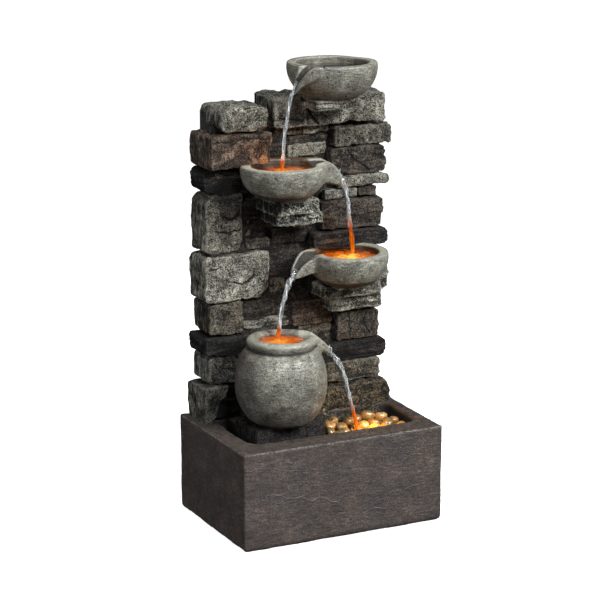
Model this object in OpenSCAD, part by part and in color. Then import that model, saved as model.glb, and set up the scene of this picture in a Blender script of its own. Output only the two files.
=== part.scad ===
// Tabletop water fountain: a basin, a stacked-stone wall with a hollow back,
// three spouted bowls and a pot, with the pump, the riser and the lights inside.
// Millimetres, +Z up, +Y to the back. The origin is the centre of the footprint.

/* [Basin] */
// Width of the basin
basin_w = 220; // [216:1:230]
// Depth of the basin
basin_d = 155; // [155:1:165]
// Height of the basin's rim
basin_h = 100; // [98:1:101]
// Thickness of the basin's floor
floor_t = 7; // [6:0.5:8]
// Radius of the basin's outer upright edges
basin_corner = 4; // [2:0.5:8]

/* [Wall] */
// Thickness of the hollow wall's casting
shell_t = 5; // [4:0.5:6]
// Height of the hollow wall's top
shell_top = 412; // [410:1:414]
// Width of the rear door's opening
door_w = 80; // [70:1:90]
// Height of the rear door's opening
door_h = 92; // [80:1:96]

/* [Bowls] */
// Wall thickness of the three bowls
bowl_wall = 8; // [6:0.5:9]
// Radius of the spouts' channels
channel_r = 6; // [5:0.5:7]
// Radius of the spouts' outside
spout_r = 10; // [9:0.5:11]

/* [Water and light] */
// Outside radius of the riser tube
riser_r = 5.5; // [5:0.1:5.8]
// Radius of a light's housing
led_r = 9; // [8:0.5:10]
// Radius of a light's lead
lead_r = 1.1; // [0.8:0.1:1.3]
// Travel of the flow regulator's slider
slider_travel = 8; // [6:0.5:9]

/* [Hidden] */
$fn = 64;
half_w = basin_w / 2;
back_y = basin_d / 2;
foot_h = 3;
foot_sink = 2;
foot_r = 8;
floor_z = foot_h - foot_sink + floor_t;

// The pool is left, right, front, back; the pump bay behind it likewise.
pool = [-88, 98, -48, 24];
pool_corner = 14;
bay = [-50, 70, 34, 68];
slot_w = 8;
slot_h = 10;
slot_xs = [-30, 31, 56];
pillar_xy = [31, -17];
pillar_r = 10;
pillar_top = 80;

// The hollow wall's outside: left, right and front.
shell_left = -84;
shell_right = 92;
shell_front = 46;
door_z = 108;
door_lip = 5;
door_gap = 0.3;
door_t = 2.8;
gland_at = [62, 125];
gland_r = 7;
cord_hole_r = 2.6;
gland_flange = 2;

// Height of a spout's sides above its axis.
lip_h = 4;

// Each bowl is its centre x and y, rim, base, rim radius, base radius, its spout's
// direction, how far the spout reaches from the centre and how far its tip drops.
top_bowl = [29.7, 12, 461.5, 423, 44.5, 27, 198, 51, 20];
upper_bowl = [-26.5, 6, 364, 328, 40, 24, -6.5, 60, 18];
lower_bowl = [44.3, 5, 270.5, 233, 40, 24, 184.5, 63.5, 18];
pot_at = [-38.4, -12];
pot_rim = 191.6;
pot_spout = [-38.4, -12, 191.6, 107, 34, 22, -2, 54, 18];

// The pot's outside and inside as radius and height, from the foot up.
pot_outer = [[0, 107], [23, 107], [32, 113], [39.5, 124], [44, 137], [45.3, 150], [43.5, 161],
  [39, 171], [34, 177], [33, 179], [35.5, 183], [35.5, 188], [33, 191.6]];
pot_inner = [[26, 191.6], [24.5, 188], [25, 182], [33, 170], [38, 150], [35, 128], [25, 115],
  [0, 115]];

// Each stone is its left, right, front, underside and top.
plinth_list = [
  [-101, -60, 34, 100, 137],
  [-58, 22, 30, 100, 122],
  [24, 106, 24, 100, 124]
];
left_list = [
  [-94, -50, 38, 139, 167],
  [-99, -58, 34, 169, 187],
  [-93, -56, 38, 189, 222],
  [-98, -28, 36, 224, 270],
  [-95, -55, 40, 273, 331],
  [-96, -57, 42, 334, 356],
  [-95, -30, 25, 359, 393]
];
centre_list = [
  [8, 45, 42, 171, 187],
  [1, 45, 40, 189, 213],
  [-54, -4, 42, 190, 201],
  [-54, -4, 43, 203, 214],
  [-25, -8, 42, 226, 241],
  [-25, -10, 43, 243, 262],
  [-50, -25, 42, 274, 284],
  [-22, 16, 40, 276, 292],
  [-53, -44, 43, 287, 312],
  [15, 36, 42, 340, 361],
  [-5, 37, 40, 364, 376],
  [-3, 40, 42, 378, 384],
  [-18, 11, 41, 386, 394],
  [13, 41, 40, 386, 394]
];
right_list = [
  [9, 96, 30, 126, 147],
  [9, 102, 29, 149, 168],
  [47, 95, 31, 170, 199],
  [56, 98, 32, 201, 218],
  [60, 105, 31, 220, 245],
  [46, 98, 33, 247, 265],
  [19, 104, 29, 267, 285],
  [29, 97, 30, 287, 316],
  [34, 70, 34, 318, 328],
  [73, 93, 34, 318, 328],
  [47, 104, 28, 330, 341],
  [39, 101, 30, 343, 370],
  [43, 107, 30, 372, 391]
];
top_slab_block = [-26, 97, 26, 396, 426];
capstone_block = [-84, -33, 25, 396, 419];
pot_slab_block = [-73, 2, -30, floor_z, 107];

// A ledge is its left, right, front, back, underside and top.
ledge_top_list = [[8, 59, -2, 26, 414, 423]];
ledge_upper_list = [[-42, 17, 6, shell_front, 302, 314], [-50, 10, 0, shell_front, 314, 328]];
ledge_lower_list = [[34, 91, 18, shell_front, 205, 220], [23, 88, 13, shell_front, 220, 233]];

// The lights stand on the bowls' floors and on the basin's pillar: x, y and height.
led_h = 6;
lens_h = 3;
led_places = [
  [upper_bowl[0], upper_bowl[1], upper_bowl[3] + bowl_wall],
  [lower_bowl[0], lower_bowl[1], lower_bowl[3] + bowl_wall],
  [pot_at[0], pot_at[1], 115],
  [pillar_xy[0], pillar_xy[1], pillar_top]
];

// The junction box: left, right, front, back, underside and top.
box_at = [-30, 8, 58, 70, 216, 238];
lead_y = 66;
corner_lead_x = 68.2;
pump_lead_at = [-3, 61];
lead_paths = [
  [[upper_bowl[0], upper_bowl[1], 336.5], [upper_bowl[0], upper_bowl[1], 321],
    [upper_bowl[0], lead_y, 321], [upper_bowl[0], lead_y, box_at[5]]],
  [[lower_bowl[0], lower_bowl[1], 241.5], [lower_bowl[0], lower_bowl[1], 237],
    [lower_bowl[0], 20, 237], [lower_bowl[0], 20, 227],
    [lower_bowl[0], lead_y, 227], [box_at[1], lead_y, 227]],
  [[pot_at[0], pot_at[1], 115.5], [pot_at[0], pot_at[1], 60], [pot_at[0], lead_y, 60],
    [pot_at[0], lead_y, 224], [box_at[0], lead_y, 224]],
  [[pillar_xy[0], pillar_xy[1], 80.5], [pillar_xy[0], pillar_xy[1], 12],
    [pillar_xy[0], 35.5, 12], [corner_lead_x, 35.5, 12], [corner_lead_x, lead_y, 12],
    [corner_lead_x, lead_y, 221], [box_at[1], lead_y, 221]]
];

// The pump stands in the bay, with its shaft along X.
pump = [-8, 36, 37, 65, 14, 50];
shaft_y = 51;
shaft_z = 31;
shaft_r = 1;
shaft_gap = 0.05;
magnet_r = 6;
magnet_x = [2, 22];
impeller_r = 9.5;
blade_t = 1.2;
impeller_x = [24, 33];
chamber_r = 11;
cover_t = 3;
front_x = [39.3, 50];
spigot_r = 3.7;
spigot_top = 60;
outlet_y = 58;
riser_y = 34;
riser_bend_z = 402;
riser_top = 437;
bore_r = 3.8;

tray = [5, 96, -46, 22];
tray_z = 76;
tray_t = 4;
tray_corner = 12;
pebble_r = 5.2;
pebble_step = 11.4;
pebble_grid = [7, 5];
pebble_start = [16, -39];

// A block with upright edges of radius r.
module rounded_block(x0, x1, y0, y1, z0, z1, r) {
  translate([0, 0, z0]) linear_extrude(z1 - z0) union() {
    translate([x0 + r, y0]) square([x1 - x0 - 2 * r, y1 - y0]);
    translate([x0, y0 + r]) square([x1 - x0, y1 - y0 - 2 * r]);
    for (x = [x0 + r, x1 - r], y = [y0 + r, y1 - r]) translate([x, y]) circle(r);
  }
}

module block(x0, x1, y0, y1, z0, z1) {
  translate([x0, y0, z0]) cube([x1 - x0, y1 - y0, z1 - z0]);
}

module cylinder_y(r, h) {
  rotate([-90, 0, 0]) cylinder(r = r, h = h);
}

module cylinder_x(r, h) {
  rotate([0, 90, 0]) cylinder(r = r, h = h);
}

// A round rod along straight stretches, with round elbows.
module rod(points, r) {
  for (i = [1 : len(points) - 1]) {
    step = points[i] - points[i - 1];
    turn = atan2(step[1], step[0]);
    lean = acos(step[2] / norm(step));
    translate(points[i - 1]) rotate([0, lean, turn]) cylinder(r = r, h = norm(step));
    if (i < len(points) - 1) translate(points[i]) sphere(r);
  }
}

module all_leads(r) {
  for (path = lead_paths) rod(path, r);
}

// The outline of a bowl's outside or inside: a quarter ellipse from its foot to its rim.
function arc_points(r0, r1, z0, z1, n = 8) =
  [for (i = [0 : n]) [r0 + (r1 - r0) * sin(90 * i / n), z0 + (z1 - z0) * (1 - cos(90 * i / n))]];

module bowl_outside(b) {
  translate([b[0], b[1], 0]) rotate_extrude()
    polygon(concat([[0, b[3]]], arc_points(b[5], b[4], b[3], b[2]), [[0, b[2]]]));
}

module bowl_inside(b) {
  inner = arc_points(b[5] - bowl_wall, b[4] - bowl_wall, b[3] + bowl_wall, b[2]);
  translate([b[0], b[1], 0]) rotate_extrude()
    polygon(concat([[0, b[3] + bowl_wall]], inner, [[0, b[2]]]));
}

// A straight trough sloping down from inside the rim to the tip: its channel or its outside.
module spout(b, r, side_h, grow) {
  start = b[4] - 12;
  run = b[7] - start + grow;
  fall = b[8] - channel_r + 1;
  slope = atan2(fall, b[7] - start);
  translate([b[0], b[1], b[2] + 1]) rotate([0, 0, b[6]]) translate([start, 0, 0])
    rotate([0, 90 + slope, 0]) union() {
      cylinder(r = r, h = run / cos(slope));
      translate([-side_h, -r, 0]) cube([side_h, 2 * r, run / cos(slope)]);
    }
}

module above(b) {
  translate([b[0] - 100, b[1] - 100, b[2]]) cube([200, 200, 50]);
}

module bowl(b) {
  difference() {
    union() {
      bowl_outside(b);
      spout(b, spout_r, lip_h, 0);
    }
    bowl_inside(b);
    spout(b, channel_r, 20, 5);
    above(b);
  }
}

module shell_outside() {
  block(shell_left, shell_right, shell_front, back_y, basin_h, shell_top);
}

module stone(s) {
  block(s[0], s[1], s[2], back_y, s[3], s[4]);
}

module ledge_blocks(ledge) {
  for (l = ledge) block(l[0], l[1], l[2], l[3], l[4], l[5]);
}

// Facing stones: whole blocks, less what they are built round.
module facing(stones) {
  difference() {
    for (s = stones) stone(s);
    shell_outside();
    bowl_outside(upper_bowl);
    bowl_outside(lower_bowl);
    ledge_blocks(ledge_upper_list);
    ledge_blocks(ledge_lower_list);
    all_leads(lead_r + 0.3);
  }
}

module basin() {
  color("#463e3a") difference() {
    union() {
      difference() {
        rounded_block(-half_w, half_w, -back_y, back_y, foot_h - foot_sink, basin_h, basin_corner);
        rounded_block(pool[0], pool[1], pool[2], pool[3], floor_z, basin_h + 1, pool_corner);
        block(bay[0], bay[1], bay[2], bay[3], floor_z, basin_h + 1);
      }
      translate([pillar_xy[0], pillar_xy[1], floor_z])
        cylinder(r = pillar_r, h = pillar_top - floor_z);
    }
    for (x = slot_xs) block(x - slot_w / 2, x + slot_w / 2, pool[3] - 1, bay[2] + 1,
      floor_z, floor_z + slot_h);
    for (x = [-1, 1], y = [-1, 1]) translate([x * (half_w - 18), y * (back_y - 17), 0])
      cylinder(r = foot_r, h = foot_h);
    all_leads(lead_r + 0.3);
  }
}

module basin_feet() {
  color("#202020") for (x = [-1, 1], y = [-1, 1])
    translate([x * (half_w - 18), y * (back_y - 17), 0]) cylinder(r = foot_r, h = foot_h);
}

module wall_shell() {
  color("#3a3836") difference() {
    shell_outside();
    block(shell_left + shell_t, shell_right - shell_t, shell_front + shell_t, back_y - shell_t,
      basin_h - 1, shell_top - shell_t);
    block(-door_w / 2, door_w / 2, back_y - 3, back_y + 1, door_z, door_z + door_h);
    block(-door_w / 2 + door_lip, door_w / 2 - door_lip, back_y - shell_t - 1, back_y,
      door_z + door_lip, door_z + door_h - door_lip);
    translate([gland_at[0], back_y - shell_t - 1, gland_at[1]])
      cylinder_y(gland_r - gland_flange, shell_t + 2);
    translate([gland_at[0], back_y - gland_flange, gland_at[1]])
      cylinder_y(gland_r, gland_flange + 1);
    rod(riser_path(), riser_r + 0.2);
    all_leads(lead_r + 0.3);
  }
}

module plinth_stones() {
  color("#5b5046") facing(plinth_list);
}

module left_stones() {
  color("#7d776a") facing(left_list);
}

module centre_stones() {
  color("#5c5850") facing(centre_list);
}

module right_stones() {
  color("#5f5a52") facing(right_list);
}

module top_slab() {
  color("#6a665f") difference() {
    stone(top_slab_block);
    shell_outside();
    bowl_outside(top_bowl);
    rod(riser_path(), riser_r + 0.2);
  }
}

module capstone() {
  color("#8b877a") difference() {
    stone(capstone_block);
    shell_outside();
  }
}

module ledge_top() {
  color("#77746c") ledge_blocks(ledge_top_list);
}

module ledge_upper() {
  color("#77746c") difference() {
    ledge_blocks(ledge_upper_list);
    all_leads(lead_r + 0.3);
  }
}

module ledge_lower() {
  color("#77746c") difference() {
    ledge_blocks(ledge_lower_list);
    all_leads(lead_r + 0.3);
  }
}

module pot_slab() {
  color("#2c2a29") difference() {
    block(pot_slab_block[0], pot_slab_block[1], pot_slab_block[2], pool[3],
      pot_slab_block[3], pot_slab_block[4]);
    all_leads(lead_r + 0.3);
  }
}

module bowl_top() {
  color("#8c8e87") difference() {
    bowl(top_bowl);
    rod(riser_path(), riser_r + 0.2);
  }
}

module bowl_upper() {
  color("#8c8e87") difference() {
    bowl(upper_bowl);
    all_leads(lead_r + 0.3);
  }
}

module bowl_lower() {
  color("#8c8e87") difference() {
    bowl(lower_bowl);
    all_leads(lead_r + 0.3);
  }
}

module pot() {
  color("#8c8e87") difference() {
    union() {
      translate(pot_at) rotate_extrude() polygon(concat(pot_outer, [[0, pot_rim]]));
      spout(pot_spout, spout_r, lip_h, 0);
    }
    translate(pot_at) rotate_extrude() polygon(concat(pot_inner, [[0, pot_rim]]));
    spout(pot_spout, channel_r, 20, 5);
    above(pot_spout);
    all_leads(lead_r + 0.3);
  }
}

function riser_path() = [
  [top_bowl[0], outlet_y, pump[5] + 2],
  [top_bowl[0], outlet_y, riser_bend_z],
  [top_bowl[0], riser_y, riser_bend_z],
  [top_bowl[0], riser_y, riser_top]
];

module riser_tube() {
  color("#c8ccd0") difference() {
    rod(riser_path(), riser_r);
    rod(riser_path(), bore_r);
  }
}

// A cap over the riser's end, seated on the curve of the bowl's floor.
module outlet_nozzle() {
  color("#1e1e1e") intersection() {
    translate([top_bowl[0], riser_y, riser_top - 6]) difference() {
      cylinder(r = riser_r + 2, h = 7);
      translate([0, 0, -1]) cylinder(r = riser_r, h = 7);
      cylinder(r = bore_r - 1, h = 8);
    }
    bowl_inside(top_bowl);
  }
}

module led_housings() {
  color("#1b1b1c") for (p = led_places) translate(p) difference() {
    cylinder(r = led_r, h = led_h);
    translate([0, 0, -1]) cylinder(r = lead_r, h = 1.5);
  }
}

module led_lenses() {
  color("#ffb040") for (p = led_places) translate(p + [0, 0, led_h])
    cylinder(r1 = led_r - 2, r2 = led_r - 4, h = lens_h);
}

module led_leads() {
  color("#151515") all_leads(lead_r);
}

module pump_lead() {
  color("#151515") rod([concat(pump_lead_at, pump[5]), concat(pump_lead_at, box_at[4])], lead_r);
}

module junction_box() {
  color("#202022") block(box_at[0], box_at[1], box_at[2], box_at[3], box_at[4], box_at[5]);
}

module cord_gland() {
  color("#181818") translate([gland_at[0], back_y, gland_at[1]]) difference() {
    union() {
      translate([0, -shell_t - 3, 0]) cylinder_y(gland_r - gland_flange, shell_t + 3);
      translate([0, -gland_flange, 0]) cylinder_y(gland_r, gland_flange);
    }
    translate([0, -shell_t - 4, 0]) cylinder_y(cord_hole_r, shell_t + 5);
  }
}

module pump_body() {
  color("#1d1f22") difference() {
    union() {
      rounded_block(pump[0], pump[1], pump[2], pump[3], pump[4], pump[5], 3);
      translate([top_bowl[0], outlet_y, pump[5] - 1])
        cylinder(r = spigot_r, h = spigot_top - pump[5] + 1);
    }
    translate([magnet_x[0] - 1, shaft_y, shaft_z])
      cylinder_x(magnet_r + 0.5, impeller_x[0] - magnet_x[0] + 2);
    translate([impeller_x[0] - 0.5, shaft_y, shaft_z]) cylinder_x(chamber_r, pump[1]);
    translate([-4, shaft_y, shaft_z]) cylinder_x(shaft_r, 6);
    translate([top_bowl[0], outlet_y, shaft_z]) cylinder(r = 2.4, h = 40);
  }
}

module pump_cover() {
  color("#26282b") difference() {
    translate([pump[1], 0, 0]) rotate([90, 0, 90]) linear_extrude(cover_t)
      translate([pump[2], pump[4]]) square([pump[3] - pump[2], pump[5] - pump[4]]);
    for (side = [-1, 1]) translate([pump[1] - 1, shaft_y + side * 4.5, shaft_z])
      cylinder_x(2.8, cover_t + 2);
    translate([pump[1] - 1, shaft_y, shaft_z]) cylinder_x(shaft_r, cover_t);
  }
}

module rotor_shaft() {
  color("#d8d8d4") translate([-4, shaft_y, shaft_z]) cylinder_x(shaft_r, pump[1] + cover_t + 3);
}

module pump_rotor() {
  color("#e8e8e8") translate([0, shaft_y, shaft_z]) difference() {
    union() {
      translate([magnet_x[0], 0, 0]) cylinder_x(magnet_r, impeller_x[0] - magnet_x[0]);
      translate([impeller_x[0], 0, 0]) cylinder_x(impeller_r, 1.5);
      translate([impeller_x[0], 0, 0]) cylinder_x(3, impeller_x[1] - impeller_x[0]);
      for (a = [0 : 60 : 300]) rotate([a, 0, 0])
        translate([impeller_x[0] + 1, -blade_t / 2, 2])
          cube([impeller_x[1] - impeller_x[0] - 1.5, blade_t, impeller_r - 2.5]);
    }
    translate([magnet_x[0] - 1, 0, 0]) cylinder_x(shaft_r + shaft_gap, 50);
  }
}

module suction_cups() {
  color("#2a2a2a") for (x = [pump[0] + 8, pump[1] - 8], y = [pump[2] + 7, pump[3] - 7])
    translate([x, y, floor_z]) union() {
      cylinder(r1 = 5, r2 = 2.5, h = 3);
      translate([0, 0, 3]) cylinder(r = 2.5, h = pump[4] - floor_z - 3);
    }
}

module pump_front() {
  color("#303236") difference() {
    block(front_x[0], front_x[1], pump[2], pump[3], pump[4], pump[5]);
    block(front_x[0] - 1, front_x[1] - 3, pump[2] + 2, pump[3] - 2, pump[4] + 2, pump[5] - 2);
    for (i = [0 : 4]) block(front_x[1] - 4, front_x[1] + 1, pump[2] + 4, shaft_y - 2,
      pump[4] + 5 + i * 6, pump[4] + 8 + i * 6);
    block(front_x[1] - 4, front_x[1] + 1, shaft_y + 3, shaft_y + 9,
      pump[4] + 4, pump[5] - 4);
  }
}

module flow_slider() {
  color("#c03a2a") union() {
    block(front_x[1] - 2.8, front_x[1] - 0.2, shaft_y + 3.3, shaft_y + 8.7,
      pump[4] + 5, pump[5] - 6 - slider_travel);
    block(front_x[1] - 0.4, front_x[1] + 2, shaft_y + 4, shaft_y + 8,
      pump[4] + 11, pump[4] + 15);
  }
}

module rear_door() {
  inner = door_lip + door_gap;
  color("#3a3836") difference() {
    union() {
      block(-door_w / 2 + door_gap, door_w / 2 - door_gap, back_y - door_t, back_y,
        door_z + door_gap, door_z + door_h - door_gap);
      for (z = [door_z + inner, door_z + door_h - inner - 2])
        block(-12, 12, back_y - shell_t - 2, back_y - door_t + 0.1, z, z + 2);
    }
    for (i = [0 : 4]) block(-20, 20, back_y - 4, back_y + 1, door_z + 30 + i * 8, door_z + 33 + i * 8);
    translate([0, back_y - 1.5, door_z + door_h - door_gap]) cylinder_y(7, 3);
  }
}

module pebble_tray() {
  leg = 8;
  color("#2b2b2b") difference() {
    union() {
      rounded_block(tray[0], tray[1], tray[2], tray[3], tray_z, tray_z + tray_t, tray_corner);
      for (x = [tray[0] + 6, tray[1] - 14], y = [tray[2] + 8, tray[3] - 16])
        block(x, x + leg, y, y + leg, floor_z, tray_z);
    }
    translate([pillar_xy[0], pillar_xy[1], 0]) cylinder(r = pillar_r + 1, h = 100);
    for (x = [50 : 8 : 82]) block(x, x + 3, tray[2] + 12, tray[3] - 12, tray_z - 1,
      tray_z + tray_t + 1);
  }
}

module pebbles() {
  color("#b39468") for (i = [0 : pebble_grid[0] - 1], j = [0 : pebble_grid[1] - 1]) {
    x = pebble_start[0] + i * pebble_step + (j % 2) * 3;
    y = pebble_start[1] + j * pebble_step;
    if (norm([x, y] - pillar_xy) > pillar_r + pebble_r + 2)
      translate([x, y, tray_z + tray_t + pebble_r]) sphere(pebble_r);
  }
}

basin();
basin_feet();
wall_shell();
plinth_stones();
left_stones();
centre_stones();
right_stones();
top_slab();
capstone();
ledge_top();
ledge_upper();
ledge_lower();
pot_slab();
bowl_top();
bowl_upper();
bowl_lower();
pot();
riser_tube();
outlet_nozzle();
led_housings();
led_lenses();
led_leads();
pump_lead();
junction_box();
cord_gland();
pump_body();
pump_cover();
rotor_shaft();
pump_rotor();
suction_cups();
pump_front();
flow_slider();
rear_door();
pebble_tray();
pebbles();
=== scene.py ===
from math import cos, hypot, pi, radians, sin
import bpy
import numpy as np
import openvdb
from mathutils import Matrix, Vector


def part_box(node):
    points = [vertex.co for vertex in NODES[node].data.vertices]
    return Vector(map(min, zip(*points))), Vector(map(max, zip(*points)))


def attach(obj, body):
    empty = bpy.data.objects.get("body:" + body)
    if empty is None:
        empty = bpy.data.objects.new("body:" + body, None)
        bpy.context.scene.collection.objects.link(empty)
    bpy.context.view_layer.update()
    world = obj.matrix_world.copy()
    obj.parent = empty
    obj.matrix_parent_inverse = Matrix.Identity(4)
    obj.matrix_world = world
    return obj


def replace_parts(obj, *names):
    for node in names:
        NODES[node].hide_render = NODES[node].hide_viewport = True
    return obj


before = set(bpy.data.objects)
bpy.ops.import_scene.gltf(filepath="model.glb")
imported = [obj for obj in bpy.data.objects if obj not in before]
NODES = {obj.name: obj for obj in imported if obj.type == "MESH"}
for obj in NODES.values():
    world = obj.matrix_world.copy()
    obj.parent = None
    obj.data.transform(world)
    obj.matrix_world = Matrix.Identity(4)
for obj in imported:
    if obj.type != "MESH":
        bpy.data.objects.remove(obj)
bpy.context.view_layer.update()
scene = bpy.context.scene
FINE = 1.0  # lattice step of the stones, in millimetres


# ---- noise, all in millimetres
def lattice(ix, iy, iz, seed):
    n = (ix * 73856093) ^ (iy * 19349663) ^ (iz * 83492791) ^ (seed * 26543579 + 12345)
    n = ((n ^ (n >> 13)) * 1274126177) & 0x7FFFFFFF
    n = ((n ^ (n >> 15)) * 668265263) & 0x7FFFFFFF
    return ((n >> 4) & 0xFFFF) / 32767.5 - 1.0


def noise(p, seed):
    """Smooth value noise from -1 to 1 at the points p, an array whose last axis is x, y, z."""
    i = np.floor(p).astype(np.int64)
    f = p - i
    f = f * f * (3 - 2 * f)
    total = 0.0
    for dx in (0, 1):
        wx = f[..., 0] if dx else 1 - f[..., 0]
        for dy in (0, 1):
            wy = f[..., 1] if dy else 1 - f[..., 1]
            for dz in (0, 1):
                wz = f[..., 2] if dz else 1 - f[..., 2]
                total = total + wx * wy * wz * lattice(i[..., 0] + dx, i[..., 1] + dy, i[..., 2] + dz, seed)
    return total


def fbm(p, seed, octaves):
    total, size, norm = 0.0, 1.0, 0.0
    for k in range(octaves):
        total = total + size * noise(p * 2.07**k, seed + 31 * k)
        norm += size
        size *= 0.55
    return total / norm


def warped(p, size, amount, seed):
    """The points moved about by smooth noise of that size, by up to amount."""
    move = np.stack([noise(p / size, seed + 101 * k) for k in range(3)], -1)
    return p + amount * move


def smooth(a, b, x):
    t = np.clip((x - a) / (b - a), 0, 1)
    return t * t * (3 - 2 * t)


def smin(a, b, k):
    h = np.clip(0.5 + 0.5 * (b - a) / k, 0, 1)
    return b * (1 - h) + a * h - k * h * (1 - h)


def smax(a, b, k):
    return -smin(-a, -b, k)


# ---- meshes from distance fields
def sample(lo, hi, step):
    """Lattice points over the box, with a margin of two steps."""
    lo, hi = np.array(lo, float) - 2 * step, np.array(hi, float) + 2 * step
    axes = [np.arange(lo[k], hi[k] + step, step) for k in range(3)]
    return np.stack(np.meshgrid(*axes, indexing="ij"), -1), lo


def skin(field, lo, step):
    """The zero surface of a sampled field as points and quads."""
    a = np.clip(field, -4 * step, 4 * step).astype(np.float32)
    for k in range(3):
        edge = [slice(None)] * 3
        for side in (0, -1):
            edge[k] = side
            a[tuple(edge)] = np.maximum(a[tuple(edge)], step)
    g = openvdb.FloatGrid()
    g.background = 4.0 * step
    g.copyFromArray(np.ascontiguousarray(a))
    v, _, q = g.convertToPolygons(0.0, 0.0)
    return np.array(v, float) * step + lo, np.array(q, np.int64)


def normals(v, q):
    n = np.cross(v[q[:, 2]] - v[q[:, 0]], v[q[:, 3]] - v[q[:, 1]])
    total = np.zeros_like(v)
    for c in range(3):
        for k in range(4):
            total[:, c] += np.bincount(q[:, k], n[:, c], len(v))
    return total / np.maximum(np.linalg.norm(total, axis=1, keepdims=True), 1e-9)


def relax(v, q, rounds, amount):
    """Laplacian smoothing over the quads' edges."""
    ends = np.concatenate([q[:, [0, 1]], q[:, [1, 2]], q[:, [2, 3]], q[:, [3, 0]]])
    count = np.bincount(ends[:, 0], minlength=len(v)) + np.bincount(ends[:, 1], minlength=len(v))
    for _ in range(rounds):
        total = np.zeros_like(v)
        for c in range(3):
            total[:, c] = np.bincount(ends[:, 0], v[ends[:, 1], c], len(v))
            total[:, c] += np.bincount(ends[:, 1], v[ends[:, 0], c], len(v))
        v = v + amount * (total / np.maximum(count, 1)[:, None] - v)
    return v


def fan(rows, cols):
    """The faces of rings of points round point 0."""
    f = [(0, 1 + c, 1 + (c + 1) % cols) for c in range(cols)]
    for r in range(rows - 1):
        for c in range(cols):
            a, b = 1 + r * cols + c, 1 + r * cols + (c + 1) % cols
            f.append((a, a + cols, b + cols, b))
    return f


def mesh_points(me):
    """A mesh's points in millimetres."""
    v = np.empty(len(me.vertices) * 3)
    me.vertices.foreach_get("co", v)
    return v.reshape(-1, 3) * 1000


def radius(p, x, y):
    return np.hypot(p[..., 0] - x, p[..., 1] - y)


def place(name, data, at=(0, 0, 0)):
    o = bpy.data.objects.new(name, data)
    scene.collection.objects.link(o)
    o.location = at
    return o


def piece(name, v, faces, material, body="fountain", attributes=None):
    """A mesh object from millimetre points."""
    me = bpy.data.meshes.new(name)
    me.from_pydata(
        (np.asarray(v) * 0.001).tolist(), [], np.asarray(faces).tolist() if isinstance(faces, np.ndarray) else faces
    )
    me.update()
    me.shade_smooth()
    for key, values in (attributes or {}).items():
        layer = me.attributes.new(key, "FLOAT", "POINT")
        layer.data.foreach_set("value", np.asarray(values, np.float32))
    me.materials.append(material)
    o = place(name, me)
    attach(o, body)
    return o


def islands(node):
    """The boxes (low corner, high corner, in millimetres) of a CAD node's separate solids."""
    me = NODES[node].data
    v = mesh_points(me)
    key = {}
    weld = np.array([key.setdefault(tuple(p), len(key)) for p in np.round(v, 3).tolist()])
    parent = list(range(len(key)))

    def root(a):
        while parent[a] != a:
            parent[a] = parent[parent[a]]
            a = parent[a]
        return a

    for e in me.edges:
        a, b = root(weld[e.vertices[0]]), root(weld[e.vertices[1]])
        if a != b:
            parent[a] = b
    group = np.array([root(k) for k in weld])
    boxes = [(v[group == g].min(0), v[group == g].max(0)) for g in sorted(set(group.tolist()))]
    return sorted(boxes, key=lambda b: (round(b[0][2]), round(b[0][0])))


# ---- materials
def srgb(r, g, b):
    return tuple(((c / 255 + 0.055) / 1.055) ** 2.4 if c > 10 else c / 255 / 12.92 for c in (r, g, b)) + (1.0,)


def linear(colour):
    """A colour as it is, or made linear if it is three numbers from 0 to 255."""
    return srgb(*colour) if isinstance(colour, (tuple, list)) and len(colour) == 3 else colour


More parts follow.
